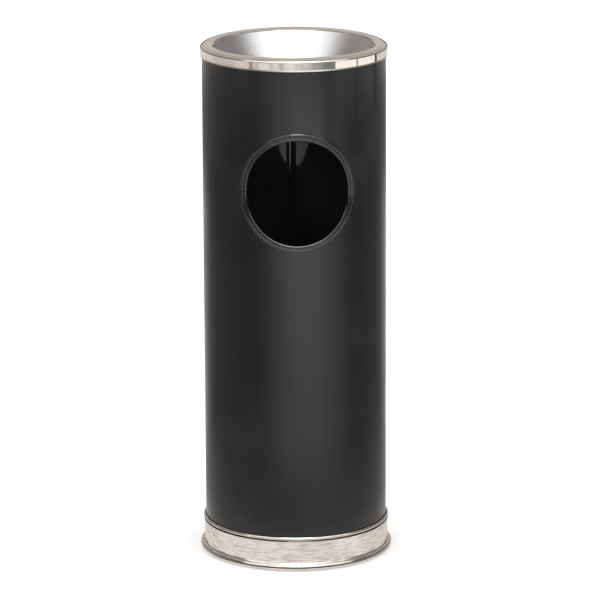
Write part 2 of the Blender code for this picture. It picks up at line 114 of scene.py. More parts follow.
# Liner.
LINER_RADIUS = 0.1040
LINER_BOTTOM = PAN_Z + SHEET / 2 + GAP
LINER_TOP = 0.3520
LINER_FLOOR_Z = 0.0186
LINER_ROLL = 0.0014
EAR_SHEET = 0.0012
EAR_HALF_ANGLE = 7
EAR_CORNER = 0.0060
EAR_LOW, EAR_HIGH = LINER_TOP - 0.0260, LINER_TOP + 0.0130
RIVET_DROPS = (0.0110, 0.0190)
RIVET_RADIUS = 0.0019
RIVET_HOLE_RADIUS = 0.0022
BAIL_PIVOT_Z = LINER_TOP + 0.0065
BAIL_WIRE = 0.0020
PIVOT_HOLE_RADIUS = BAIL_WIRE + 0.0005
BAIL_RADIUS = LINER_RADIUS + 0.0014
BAIL_END = 0.0975
BAIL_DROOP = math.degrees(math.asin((BAIL_PIVOT_Z - LINER_TOP - BAIL_WIRE - GAP) / BAIL_RADIUS))

# Points nearer to the Z axis than this are poles. Cutters go this far to each side of a wall.
ON_AXIS = 1e-7
CUT_DEPTH = 0.006


# ---------------------------------------------------------------- outlines


def arc(centre, radius, start, end, steps):
    """Points along an arc, in degrees: 0 points outwards along the radius and 90 points up."""
    angles = [math.radians(start + (end - start) * i / steps) for i in range(steps + 1)]
    return [(centre[0] + radius * math.cos(a), centre[1] + radius * math.sin(a)) for a in angles]


def smooth(points, steps):
    """A Catmull-Rom curve through the points, with this many steps between two of them."""
    padded = [points[0], *points, points[-1]]
    curve = []
    for a, b, c, d in zip(padded, padded[1:], padded[2:], padded[3:]):
        for i in range(steps):
            t = i / steps
            weights = (
                -0.5 * t + t**2 - 0.5 * t**3,
                1 - 2.5 * t**2 + 1.5 * t**3,
                0.5 * t + 2 * t**2 - 1.5 * t**3,
                -0.5 * t**2 + 0.5 * t**3,
            )
            curve.append(tuple(sum(w * p[k] for w, p in zip(weights, (a, b, c, d))) for k in (0, 1)))
    return [*curve, points[-1]]


def thicken(line, thickness):
    """The closed outline of a sheet of this thickness that follows the line, with rounded edges."""
    half = thickness / 2
    sides = ([], [])
    for i, (x, y) in enumerate(line):
        before, after = line[max(i - 1, 0)], line[min(i + 1, len(line) - 1)]
        directions = []
        for (ax, ay), (bx, by) in ((before, (x, y)), ((x, y), after)):
            length = math.hypot(bx - ax, by - ay)
            if length > 0:
                directions.append(((bx - ax) / length, (by - ay) / length))
        first, last = directions[0], directions[-1]
        nx, ny = -(first[1] + last[1]), first[0] + last[0]
        size = math.hypot(nx, ny)
        nx, ny = nx / size, ny / size
        reach = half / (nx * -first[1] + ny * first[0])
        if i in (0, len(line) - 1) and x > ON_AXIS:
            inward = 1 if i == 0 else -1
            dx, dy = first[0] * inward, first[1] * inward
            # The free edge in two steps: (distance in from the end, share of the half thickness).
            edge = [(0.25 * half, 1.0), (0.0, 0.55)]
            for side, sign in zip(sides, (1, -1)):
                steps = [(x + dx * a + nx * sign * half * b, y + dy * a + ny * sign * half * b)
                         for a, b in edge]
                side.extend(reversed(steps) if i == 0 else steps)
            continue
        sides[0].append((x + nx * reach, y + ny * reach))
        sides[1].append((x - nx * reach, y - ny * reach))
    return sides[0] + sides[1][::-1]


def threaded(radius, pitch, low, high):
    """The side of a threaded shank, from its top down, as a run of fine vee rings."""
    turns = int((high - low) / pitch)
    points = []
    for i in range(turns):
        z = high - i * pitch
        crest = [(radius, z - 0.1 * pitch), (radius, z - 0.3 * pitch)]
        points += [*crest, (radius - 0.45 * pitch, z - 0.7 * pitch)]
    return points


# ---------------------------------------------------------------- solids


def add_object(name, shape, material=None):
    bmesh.ops.recalc_face_normals(shape, faces=shape.faces)
    mesh = bpy.data.meshes.new(name)
    shape.to_mesh(mesh)
    shape.free()
    mesh.shade_smooth()
    mesh.set_sharp_from_angle(angle=SHARP)
    made = bpy.data.objects.new(name, mesh)
    bpy.context.scene.collection.objects.link(made)
    if material:
        mesh.materials.append(material)
    return made


def bridge(shape, rings, closed):
    """Joins each ring of points to the next one; repeated poles give triangles."""
    pairs = list(zip(rings, rings[1:] + rings[:1] if closed else rings[1:]))
    for one, two in pairs:
        for i in range(len(one)):
            j = (i + 1) % len(one)
            corners = []
            for vertex in (one[i], one[j], two[j], two[i]):
                if vertex not in corners:
                    corners.append(vertex)
            if len(corners) > 2:
                shape.faces.new(corners)


def turned(name, outline, material, sides=ROUND):
    """Turns a closed outline about the Z axis."""
    shape = bmesh.new()
    poles = {i: shape.verts.new((0, 0, z)) for i, (r, z) in enumerate(outline) if r < ON_AXIS}
    rings = []
    for step in range(sides):
        angle = 2 * math.pi * step / sides
        ring = []
        for i, (r, z) in enumerate(outline):
            point = (r * math.cos(angle), r * math.sin(angle), z)
            ring.append(poles.get(i) or shape.verts.new(point))
        rings.append(ring)
    bridge(shape, rings, closed=True)
    return add_object(name, shape, material)


def tube_wall(name, stations, bottom, top, material):
    """An upright hollow prism. Each station is (angle in degrees, outer radius, inner radius)."""
    shape = bmesh.new()
    rings = []
    for degrees, outer, inner in stations:
        c, s = math.cos(math.radians(degrees)), math.sin(math.radians(degrees))
        corners = ((outer, bottom), (outer, top), (inner, top), (inner, bottom))
        rings.append([shape.verts.new((r * c, r * s, z)) for r, z in corners])
    bridge(shape, rings, closed=True)
    return add_object(name, shape, material)


def swept(name, rings_of_points, material):
    """Joins a run of closed sections and closes both ends."""
    shape = bmesh.new()
    rings = [[shape.verts.new(point) for point in ring] for ring in rings_of_points]
    bridge(shape, rings, closed=False)
    shape.faces.new(rings[0])
    shape.faces.new(rings[-1])
    return add_object(name, shape, material)


def pegs(name, radius, bottom, top, places, sides=SMALL_ROUND):
    """A cutter made of upright round pegs at these (x, y) places."""
    shape = bmesh.new()
    for x, y in places:
        ends = []
        for z in (bottom, top):
            angles = [2 * math.pi * i / sides for i in range(sides)]
            ends.append(
                [shape.verts.new((x + radius * math.cos(a), y + radius * math.sin(a), z)) for a in angles]
            )
        bridge(shape, ends, closed=False)
        shape.faces.new(ends[0])
        shape.faces.new(ends[1])
    return add_object(name, shape)


def block(name, low, high):
    """A cutter made of one upright block between two corners."""
    shape = bmesh.new()
    bmesh.ops.create_cube(shape, size=1)
    for vertex in shape.verts:
        vertex.co = [low[k] if vertex.co[k] < 0 else high[k] for k in range(3)]
    return add_object(name, shape)


def cut(piece, cutter):
    """Cuts the cutter out of the piece for good, and removes the cutter."""
    bpy.context.view_layer.update()
    modifier = piece.modifiers.new("cut", "BOOLEAN")
    modifier.operation = "DIFFERENCE"
    modifier.solver = "EXACT"
    modifier.object = cutter
    bake_modifiers(piece)
    bpy.data.objects.remove(cutter)


def soften(piece, width, segments=2):
    """Rounds the sharp edges of a piece."""
    modifier = piece.modifiers.new("soften", "BEVEL")
    modifier.width = width
    modifier.segments = segments
    modifier.limit_method = "ANGLE"
    modifier.angle_limit = SHARP
    bake_modifiers(piece)


def bake_modifiers(piece):
    bpy.context.view_layer.update()
    evaluated = piece.evaluated_get(bpy.context.evaluated_depsgraph_get())
    mesh = bpy.data.meshes.new_from_object(evaluated)
    piece.modifiers.clear()
    piece.data = mesh
    mesh.shade_smooth()
    mesh.set_sharp_from_angle(angle=SHARP)


def on_circle(radius, degrees):
    return (radius * math.cos(math.radians(degrees)), radius * math.sin(math.radians(degrees)))


def sheet_holes(radius, circle, angles, z):
    """A cutter for round holes on a circle, through a level sheet at this height."""
    return pegs("holes", radius, z - SHEET, z + SHEET, [on_circle(circle, a) for a in angles])


def put(piece, body, node, location=(0, 0, 0), rotation=(0, 0, 0)):
    """Places a piece, lets it ride on a body and shows it in place of its CAD node."""
    piece.location = location
    piece.rotation_euler = [math.radians(a) for a in rotation]
    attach(piece, body)
    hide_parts(node)
    return piece


# ---------------------------------------------------------------- materials


class Nodes:
    """Short ways to add shader nodes to a tree."""

    def __init__(self, tree):
        self.tree = tree

    def node(self, kind, inputs=None, **settings):
        made = self.tree.nodes.new("ShaderNode" + kind)
        for key, value in settings.items():
            setattr(made, key, value)
        for key, value in (inputs or {}).items():
            if isinstance(value, bpy.types.NodeSocket):
                self.tree.links.new(value, made.inputs[key])
            else:
                made.inputs[key].default_value = value
        return made

    def math(self, operation, a, b=0.0):
        return self.node("Math", {0: a, 1: b}, operation=operation).outputs[0]

    def vector(self, operation, a, b=(0, 0, 0)):
        return self.node("VectorMath", {0: a, 1: b}, operation=operation).outputs[0]

    def length(self, vector):
        return self.node("VectorMath", {0: vector}, operation="LENGTH").outputs["Value"]

    def scaled(self, vector, factor):
        return self.node("VectorMath", {0: vector, "Scale": factor}, operation="SCALE").outputs[0]

    def height(self, vector):
        return self.node("SeparateXYZ", {0: vector}).outputs[2]

    def remap(self, value, low, high, to_low, to_high):
        inputs = {0: value, 1: low, 2: high, 3: to_low, 4: to_high}
        return self.node("MapRange", inputs, interpolation_type="SMOOTHSTEP").outputs[0]

    def window(self, value, start, end, soft):
        """1 between start and end, fading to 0 over the given distance outside them."""
        rise = self.remap(value, start - soft, start, 0, 1)
        fall = self.remap(value, end, end + soft, 1, 0)
        return self.math("MULTIPLY", rise, fall)

    def mix(self, factor, a, b):
        inputs = {"Factor": factor, 6: self.colour(a), 7: self.colour(b)}
        return self.node("Mix", inputs, data_type="RGBA").outputs[2]

    @staticmethod
    def colour(value):
        return value if isinstance(value, bpy.types.NodeSocket) else (*value, 1)


class Finish(Nodes):
    """A Principled material whose colour, roughness and bump come from procedural nodes."""

    def __init__(self, name, **fixed):
        self.material = bpy.data.materials.new(name)
        self.material.use_nodes = True
        super().__init__(self.material.node_tree)
        self.shader = self.tree.nodes["Principled BSDF"]
        for socket, value in fixed.items():
            self.shader.inputs[socket.replace("_", " ")].default_value = value
        self.place = self.node("TexCoord").outputs["Object"]

    def stretched(self, x, y, z):
        """The place on the piece, with each axis scaled."""
        return self.node("Mapping", {"Vector": self.place, "Scale": (x, y, z)}).outputs[0]

    def noise(self, scale, detail=3.0, vector=None):
        inputs = {"Vector": vector or self.place, "Scale": scale, "Detail": detail}
        return self.node("TexNoise", inputs).outputs[0]

    def rings(self, fineness, around, detail=2.0):
        """Noise drawn out around the Z axis, as a lathe or a brush wheel leaves it."""
        flat = self.vector("MULTIPLY", self.place, (1, 1, 0))
        aim = self.node("SeparateXYZ", {0: self.vector("NORMALIZE", flat)}).outputs
        parts = {
            0: self.math("MULTIPLY", aim[0], around),
            1: self.math("MULTIPLY", aim[1], around),
            2: self.math("MULTIPLY", self.length(flat), fineness),
        }
        inputs = {
            "Vector": self.node("CombineXYZ", parts).outputs[0],
            "W": self.math("MULTIPLY", self.height(self.place), fineness),
            "Scale": 1.0,
            "Detail": detail,
        }
        return self.node("TexNoise", inputs, noise_dimensions="4D").outputs[0]

    def specks(self, scale, size):
        """1 inside small scattered dots, 0 elsewhere."""
        cells = self.node("TexVoronoi", {"Vector": self.place, "Scale": scale}).outputs["Distance"]
        return self.math("LESS_THAN", cells, size)

    def bump(self, height, distance, strength=1.0, below=None):
        inputs = {"Height": height, "Distance": distance, "Strength": strength}
        if below:
            inputs["Normal"] = below
        return self.node("Bump", inputs).outputs[0]

    def finish(self, colour=None, roughness=None, normal=None):
        for socket, value in (("Base Color", colour), ("Roughness", roughness), ("Normal", normal)):
            if value:
                self.tree.links.new(value, self.shader.inputs[socket])
        return self.material


def black_paint(name, gloss, spread, peel_height, lift=1.0, shine=0.5):
    """Black coat with orange peel, faint wipe marks, smudges and a little dust; lift pales its colour."""
    m = Finish(name, Specular_IOR_Level=shine)
    smudge = m.remap(m.noise(11, 5), 0.42, 0.72, 0, 1)
    wipes = m.noise(1, 3, m.stretched(90, 90, 7))
    tone = m.mix(smudge, (0.0060, 0.0058, 0.0058), (0.0100, 0.0094, 0.0091))
    dust = m.math("MULTIPLY", m.specks(260, 0.055), m.remap(m.noise(30, 2), 0.55, 0.75, 0, 1))
    tone = m.mix(dust, tone, (0.07, 0.068, 0.064))
    tone = m.scaled(tone, lift)
    rubbed = m.remap(wipes, 0.3, 0.7, 0, spread / 2)
    rough = m.math("ADD", m.remap(smudge, 0, 1, gloss, gloss + spread), rubbed)
    peel = m.bump(m.noise(620, 1), peel_height)
    return m.finish(tone, rough, m.bump(m.noise(70, 1), 6 * peel_height, below=peel))


def seam_paint():
    """Thin dull black over the lap, rubbed to bare metal along the crown of its weld bead."""
    m = Finish("seam_paint", Specular_IOR_Level=0.15)
    radius = m.length(m.vector("MULTIPLY", m.place, (1, 1, 0)))
    bare = m.remap(radius, LAP_RADIUS - 0.00018, LAP_RADIUS - 0.00006, 1, 0)
    soot = m.remap(m.noise(60, 4), 0.4, 0.7, 0, 1)
    tone = m.mix(bare, m.mix(soot, (0.020, 0.0195, 0.019), (0.026, 0.025, 0.024)), (0.30, 0.29, 0.28))
    m.tree.links.new(bare, m.shader.inputs["Metallic"])
    rough = m.mix(bare, m.mix(soot, (0.55, 0.55, 0.55), (0.75, 0.75, 0.75)), (0.08, 0.08, 0.08))
    return m.finish(tone, rough, m.bump(m.noise(500, 2), 0.00001))


def black_vinyl():
    """Vinyl trim, rubbed shiny on its nose and outer edge and dull with dust on its flat face."""
    m = Finish("black_vinyl", Specular_IOR_Level=0.8)
    bloom = m.remap(m.noise(60, 4), 0.4, 0.7, 0, 1)
    from_centre = m.vector("SUBTRACT", m.place, (0, 0, OPENING_Z))
    radius = m.length(m.vector("MULTIPLY", from_centre, (1, 0, 1)))
    face = m.window(radius, *TRIM_FACE, 0.0006)
    tone = m.mix(bloom, (0.005, 0.0048, 0.0045), (0.010, 0.0094, 0.0088))
    tone = m.mix(face, tone, (0.009, 0.0080, 0.0072))
    rough = m.math("ADD", m.remap(bloom, 0, 1, 0.06, 0.10), m.remap(face, 0, 1, 0, 0.45))
    return m.finish(tone, rough, m.bump(m.noise(900, 2), 0.000004))


def nickel(name, stains, painted_shade_bands=()):
    """Warm polished plating with fine turned lines, haze, brownish streaks and painted shade lines at some
    heights.
    """
    m = Finish(name, Metallic=1.0)
    haze = m.remap(m.noise(26, 5), 0.40, 0.68, 0, 1)
    streaks = m.remap(m.rings(480, 8, 8), 0.42, 0.72, 0, stains)
    grain = m.remap(m.noise(700, 4, m.stretched(1, 1, 1.7)), 0.45, 0.75, 0, 0.5 * stains)
    lines = m.rings(2600, 3)
    tone = m.mix(haze, (0.82, 0.775, 0.72), (0.74, 0.695, 0.645))
    tone = m.mix(streaks, tone, (0.40, 0.345, 0.305))
    tone = m.mix(grain, tone, (0.36, 0.31, 0.27))
    # Painted shade: a dark colour band at each of these heights stands for the shadow in the plinth's
    # crevices.
    for low, high in painted_shade_bands:
        tone = m.mix(m.window(m.height(m.place), low, high, 0.0003), tone, (0.045, 0.040, 0.036))
    rough = m.math("ADD", m.remap(haze, 0, 1, 0.05, 0.10), m.remap(streaks, 0, 1, 0, 0.22))
    return m.finish(tone, rough, m.bump(lines, 0.0000025))


def satin_aluminium():
    """Spun aluminium, brushed round its axis."""
    m = Finish("satin_aluminium", Metallic=1.0, Anisotropic=0.7)
    lines = m.rings(900, 5, 4)
    broad = m.rings(160, 1.5)
    haze = m.remap(m.noise(22, 4), 0.4, 0.7, 0, 1)
    tone = m.mix(m.remap(lines, 0.3, 0.7, 0, 1), (0.61, 0.61, 0.615), (0.67, 0.67, 0.675))
    tone = m.mix(m.remap(haze, 0, 1, 0, 0.3), tone, (0.60, 0.60, 0.60))
    rough = m.math("ADD", m.remap(broad, 0.3, 0.7, 0.27, 0.30), m.remap(lines, 0.3, 0.7, -0.004, 0.004))
    tangent = m.node("Tangent", direction_type="RADIAL", axis="Z").outputs[0]
    m.tree.links.new(tangent, m.shader.inputs["Tangent"])
    return m.finish(tone, rough, m.bump(lines, 0.0000002))


def galvanised():
    """Hot-dipped zinc with its spangle of dull and bright grains."""
    m = Finish("galvanised_steel", Metallic=0.9)
    grain = m.node("TexVoronoi", {"Vector": m.place, "Scale": 95.0}).outputs["Color"]
    level = m.node("SeparateColor", {0: grain}).outputs[0]
    wear = m.remap(m.noise(14, 5), 0.42, 0.7, 0, 1)
    tone = m.mix(level, (0.36, 0.375, 0.385), (0.54, 0.555, 0.565))
    tone = m.mix(m.remap(wear, 0, 1, 0, 0.5), tone, (0.34, 0.34, 0.335))
    rough = m.math("ADD", m.remap(level, 0, 1, 0.34, 0.50), m.remap(wear, 0, 1, 0, 0.1))
    return m.finish(tone, rough, m.bump(m.noise(240, 2), 0.00003))


def zinc():
    """Bright zinc plating with faint yellow and blue tints."""
    m = Finish("zinc_plate", Metallic=1.0)
    patch = m.remap(m.noise(180, 3), 0.35, 0.65, 0, 1)
    tone = m.mix(patch, (0.60, 0.59, 0.54), (0.55, 0.58, 0.62))
    return m.finish(tone, m.remap(m.noise(420, 3), 0.3, 0.7, 0.20, 0.36), m.bump(m.noise(1500, 2), 0.00001))


def rubber():
    m = Finish("black_rubber", Specular_IOR_Level=0.35)
    dust = m.remap(m.noise(140, 5), 0.45, 0.7, 0, 1)
    tone = m.mix(dust, (0.016, 0.016, 0.016), (0.040, 0.038, 0.035))
    return m.finish(tone, m.remap(dust, 0, 1, 0.55, 0.80), m.bump(m.noise(1100, 2), 0.00004))


# ---------------------------------------------------------------- base


def base_ring(material):
    """Plated plinth: a bead at the top, a cove, a rolled lip, and a short flange under the body."""
    r = BODY_RADIUS
    flange = [(r - 0.0081, RING_FLANGE_Z), (r - 0.0031, RING_FLANGE_Z)]
    under_curl = [(r - 0.0006, 0.0066), (r + 0.0010, 0.0028)]
    lip = arc(LIP_CENTRE, LIP_RADIUS, -95, 100, 18)
    cove = [(r + 0.0017, 0.0088), (r + 0.0013, 0.0110), (r + 0.0012, 0.0230), (r + 0.0020, 0.0368)]
    groove = [(r + 0.0010, 0.0382)]
    bead = arc(BEAD_CENTRE, BEAD_RADIUS, -70, 90, 14)
    line = [
        flange[0],
        *smooth([flange[1], *under_curl, lip[0]], 5)[:-1],
        *lip[:-1],
        *smooth([lip[-1], *cove], 6),
        *groove,
        *bead,
    ]
    put(turned("plinth", thicken(line, SHEET), material), "body", "base_ring")


def clamp_ring(material):
    """Flat ring under the plinth's flange, held by the four foot screws."""
    low, high = CLAMP_Z - SHEET / 2, CLAMP_Z + SHEET / 2
    inner, outer = 0.0780, BODY_RADIUS - 0.0045
    ring = turned("flat_ring", [(inner, low), (outer, low), (outer, high), (inner, high)], material)
    soften(ring, 0.0002)
    cut(ring, sheet_holes(SCREW_HOLE_RADIUS, FOOT_CIRCLE, FOOT_ANGLES, CLAMP_Z))
    put(ring, "body", "clamp_ring")


def base_pan(material):
    """Pressed floor with a short upturned rim inside the shell."""
    rim_radius = BODY_RADIUS - SHEET - GAP - 0.0001 - SHEET / 2
    corner = arc((rim_radius - 0.0015, PAN_Z + 0.0015), 0.0015, -90, 0, 8)
    line = [(0, PAN_Z), (0.06, PAN_Z), *corner, (rim_radius, PAN_RIM_Z)]
    pan = turned("floor_pan", thicken(line, SHEET), material)
    cut(pan, sheet_holes(SCREW_HOLE_RADIUS, FOOT_CIRCLE, FOOT_ANGLES, PAN_Z))
    # The rim is notched where the shell's lap passes.
    notch, depth = 0.0064, LAP_RADIUS - 0.0008
    cut(pan, block("notch", (-notch, depth, 0), (notch, BODY_RADIUS, PAN_RIM_Z + 0.0100)))
    put(pan, "body", "base_pan")


def hexagon_nut(name, across_flats, thickness, bore, material):
    """A nut that hangs down from its own origin, its top and bottom faces chamfered."""
    shape = bmesh.new()
    corner = across_flats / 2 / math.cos(math.radians(30))
    chamfer = corner - across_flats / 2
    rings = []
    for i in range(SMALL_ROUND):
        degrees = 360 * i / SMALL_ROUND
        flat = across_flats / 2 / math.cos(math.radians((degrees + 30) % 60 - 30))
        drop = 0.5 * (flat - across_flats / 2)
        c, s = math.cos(math.radians(degrees)), math.sin(math.radians(degrees))
        profile = (
            (bore + 0.0002, 0),
            (across_flats / 2 - 0.4 * chamfer, 0),
            (flat, -drop - 0.0001),
            (flat, drop + 0.0001 - thickness),
            (across_flats / 2 - 0.4 * chamfer, -thickness),
            (bore + 0.0002, -thickness),
            (bore, 0.0002 - thickness),
            (bore, -0.0002),
        )
        rings.append([shape.verts.new((r * c, r * s, z)) for r, z in profile])
    bridge(shape, rings, closed=True)
    return add_object(name, shape, material)


def feet(rubber_material, zinc_material):
    """Each rubber foot with its washer, its cross-recessed screw and the nut inside the pan."""
    recess_radius, recess_top = 0.0056, FOOT_HEIGHT - 0.0020
    foot = [
        (recess_radius, 0.0003),
        (recess_radius + 0.0003, 0),
        (FOOT_RADIUS - 0.0021, 0),
        (FOOT_RADIUS - 0.0014, 0.0002),
        (FOOT_RADIUS - 0.0009, 0.0008),
        (FOOT_RADIUS - 0.0006, 0.0026),
        (FOOT_RADIUS - 0.0009, 0.0029),
        (FOOT_RADIUS - 0.0005, 0.0032),
        (FOOT_RADIUS, FOOT_HEIGHT - 0.0004),
        (FOOT_RADIUS - 0.0003, FOOT_HEIGHT),
        (SCREW_HOLE_RADIUS, FOOT_HEIGHT),
        (SCREW_HOLE_RADIUS, recess_top),
        (recess_radius, recess_top),
    ]
    washer_radius, washer_thickness = 0.0052, 0.0008
    washer_top, washer_bottom = recess_top - GAP, recess_top - GAP - washer_thickness
    washer = [
        (SCREW_HOLE_RADIUS, washer_bottom + 0.0001),
        (SCREW_HOLE_RADIUS + 0.0001, washer_bottom),
        (washer_radius - 0.0002, washer_bottom),
        (washer_radius, washer_bottom + 0.0002),
        (washer_radius, washer_top),
        (SCREW_HOLE_RADIUS, washer_top),
    ]
    head_top, screw_end = washer_bottom - GAP, PAN_Z + 0.0064
    head_bottom = head_top - 0.0020
    screw = [
        (0, head_bottom),
        (0.0024, head_bottom),
        (0.0034, head_bottom + 0.00015),
        (0.0041, head_bottom + 0.0005),
        (0.0045, head_bottom + 0.0010),
        (0.0046, head_bottom + 0.0014),
        (0.0046, head_top - 0.0001),
        (0.0045, head_top),
        (SCREW_RADIUS, head_top),
        *reversed(threaded(SCREW_RADIUS, SCREW_PITCH, head_top + 0.0020, screw_end - 0.0004)),
        (SCREW_RADIUS - 0.0008, screw_end),
        (0, screw_end),
    ]
    # One arm of the cross recess: half its length and half its width.
    arm = (0.0026, 0.0004)
    nut_thickness = 0.0040
    nut_top = PAN_Z + SHEET / 2 + GAP + nut_thickness
    for number, angle in enumerate(FOOT_ANGLES, 1):
        x, y = on_circle(FOOT_CIRCLE, angle)
        piece = turned(f"rubber_foot_{number}", foot, rubber_material, 2 * SMALL_ROUND)
        put(piece, "body", f"foot_{number}", (x, y, 0))
        piece = turned(f"washer_{number}", washer, zinc_material, SMALL_ROUND)
        put(piece, "body", f"foot_washer_{number}", (x, y, 0))
        piece = turned(f"screw_{number}", screw, zinc_material, SMALL_ROUND)
        for length, width in (arm, arm[::-1]):
            low, high = (-length, -width, head_bottom - 0.001), (length, width, head_bottom + 0.0011)
            cut(piece, block("recess", low, high))
        put(piece, "body", f"foot_screw_{number}", (x, y, 0))
        piece = hexagon_nut(f"nut_{number}", 0.0080, nut_thickness, SCREW_HOLE_RADIUS, zinc_material)
        put(piece, "body", f"foot_nut_{number}", (x, y, nut_top))


# ---------------------------------------------------------------- body


def wrapped(u, v, n):
    """A point of the flat sheet, u across and v up, on the rolled body and n out from its surface."""
    angle = u / BODY_RADIUS
    radius = BODY_RADIUS + n
    return (radius * math.sin(angle), -radius * math.cos(angle), v)


def opening_cutter():
    shape = bmesh.new()
    caps = []
    angles = [2 * math.pi * i / ROUND for i in range(ROUND)]
    radius = OPENING_CUT_RADIUS
    spots = [(radius * math.sin(a), OPENING_Z + radius * math.cos(a)) for a in angles]
    for depth in (-CUT_DEPTH, CUT_DEPTH):
        ring = [shape.verts.new(wrapped(u, v, depth)) for u, v in spots]
        middle = shape.verts.new(wrapped(0, OPENING_Z, depth))
        for i in range(ROUND):
            shape.faces.new((ring[i], ring[(i + 1) % ROUND], middle))
        caps.append(ring)
    bridge(shape, caps, closed=False)
    return add_object("opening", shape)


def paint_inside(shell, inner_material, seam_material):
    """Gives the inner faces of the shell their glossy coat, and the lap its thin, dull one."""
    shell.data.materials.append(inner_material)
    shell.data.materials.append(seam_material)
    for face in shell.data.polygons:
        radius = math.hypot(face.center.x, face.center.y)
        if radius < BODY_RADIUS - 1.7 * SHEET:
            face.material_index = 2
        elif radius < BODY_RADIUS - 0.7 * SHEET:
            face.material_index = 1


def body_shell(material, inner_material, seam_material):
    """Rolled sheet with a lapped seam at the back and the round opening at the front."""
    outer, inner = BODY_RADIUS, BODY_RADIUS - SHEET
    back, step, groove = 90, 0.08, 0.12
    seam = back + SEAM_OFFSET
    stations = [(360 * i / ROUND, outer, inner) for i in range(ROUND)]
    stations = [s for s in stations if abs(s[0] - back) > LAP_HALF_ANGLE + 1]
    low, high = back - LAP_HALF_ANGLE, back + LAP_HALF_ANGLE
    stations += [
        (low - step, outer, inner),
        (low, outer, LAP_RADIUS),
        *((seam - turn, outer, LAP_RADIUS - rise) for turn, rise in SEAM_BEAD),
        (seam, outer, LAP_RADIUS - SEAM_BEAD_RISE),
        *((seam + turn, outer, LAP_RADIUS - rise) for turn, rise in SEAM_BEAD),
        (high - groove, outer, LAP_RADIUS),
        (high, outer - 0.4 * SHEET, LAP_RADIUS),
        (high + step, outer - 0.4 * SHEET, inner),
        (high + step + groove, outer, inner),
    ]
    shell = tube_wall("shell", sorted(stations), SHELL_BOTTOM, SHELL_TOP, material)
    cut(shell, opening_cutter())
    paint_inside(shell, inner_material, seam_material)
    put(shell, "body", "body_shell")


def opening_trim(material):
    """Vinyl U-section over the edge of the opening, its ends butted at the left."""
    reach = TRIM_REACH
    front, rear = GAP + TRIM_WALL, -SHEET - GAP - TRIM_WALL
    nose = -GAP - 0.0020
    # (distance out from the cut edge, height above the sheet's outer face); a groove parts leg and nose
    rounded = smooth(
        [
            (reach - 0.0006, GAP),
            (reach, GAP + 0.0006),
            (reach - 0.0006, front - 0.0003),
            (reach - 0.0022, front + 0.0004),
            (0.0028, front),
            (0.0018, front - 0.0005),
            (0.0008, front + 0.0001),
            (-0.0012, front - 0.0001),
            (nose, front - 0.0013),
            (nose, rear + 0.0017),
            (-0.0012, rear + 0.0003),
            (0.0010, rear - 0.0001),
            (0.0040, rear + 0.0001),
            (reach - 0.0014, rear + 0.0003),
            (reach - 0.0008, -SHEET - GAP),
        ],
        4,
    )
    section = [*rounded, (-GAP, -SHEET - GAP), (-GAP, GAP)]
    joint = 0.25
    rings = []
    for i in range(ROUND + 1):
        angle = math.radians(-90 + joint + (360 - 2 * joint) * i / ROUND)
        spots = [(OPENING_CUT_RADIUS + out, height) for out, height in section]
        rings.append([wrapped(r * math.sin(angle), OPENING_Z + r * math.cos(angle), n) for r, n in spots])
    put(swept("edge_trim", rings, material), "body", "opening_trim")


# ---------------------------------------------------------------- lift-off top


def rim_ring(material):
    """Cap ring: a crowned top, a round shoulder and an outer band that slips over the shell."""
    reach = CROWN_CURVE - SHOULDER_CURVE
    shoulder_angle = math.degrees(math.acos((BAND_RADIUS - SHOULDER_CURVE - CREST_RADIUS) / reach))
    shoulder = arc(CROWN_CENTRE, reach, shoulder_angle, shoulder_angle, 1)[0]
    line = [
        *arc(CROWN_CENTRE, CROWN_CURVE, MOUTH_ANGLE, shoulder_angle, 24)[:-1],
        *arc(shoulder, SHOULDER_CURVE, shoulder_angle, 0, 8),
        (BAND_RADIUS, shoulder[1] - 0.0003),
        (BAND_RADIUS, BAND_BOTTOM + 0.0017),
        (BAND_RADIUS, BAND_BOTTOM + 0.0014),
        (BAND_RADIUS - 0.0001, BAND_BOTTOM + 0.0010),
        (BAND_RADIUS - 0.0004, BAND_BOTTOM),
    ]
    put(turned("cap_ring", thicken(line, SHEET), material), "ash_top", "rim_ring")


def ash_bowl(material):
    """Spun bowl: an arched flange that rests on the shell, a steep cone and a flat floor."""
    mouth_curve, floor_curve = 0.0020, 0.0060
    tilt = math.radians(BOWL_WALL_TILT)
    flange_end = math.degrees(math.acos((BODY_RADIUS - 0.0002 - CREST_RADIUS) / FLANGE_CURVE))
    mouth = arc(CROWN_CENTRE, FLANGE_CURVE - mouth_curve, MOUTH_ANGLE, MOUTH_ANGLE, 1)[0]
    mouth_arc = arc(mouth, mouth_curve, MOUTH_ANGLE, 180 - BOWL_WALL_TILT, 6)
    drop = mouth_arc[-1][1] - (BOWL_FLOOR_Z + floor_curve * (1 - math.sin(tilt)))
    wall_end = mouth_arc[-1][0] - drop * math.tan(tilt)
    floor = (wall_end - floor_curve * math.cos(tilt), BOWL_FLOOR_Z + floor_curve)
    line = [
        *arc(CROWN_CENTRE, FLANGE_CURVE, flange_end, MOUTH_ANGLE, 20)[:-1],
        *mouth_arc,
        *arc(floor, floor_curve, -BOWL_WALL_TILT, -90, 10),
        (0.02, BOWL_FLOOR_Z),
        (0, BOWL_FLOOR_Z),
    ]
    bowl = turned("spun_bowl", thicken(line, SHEET), material)
    places = [on_circle(CREST_RADIUS, a) for a in STUD_ANGLES]
    cut(bowl, pegs("holes", STUD_HEAD_RADIUS + GAP, COLLAR_Z, HEIGHT, places))
    put(bowl, "ash_top", "ash_bowl")


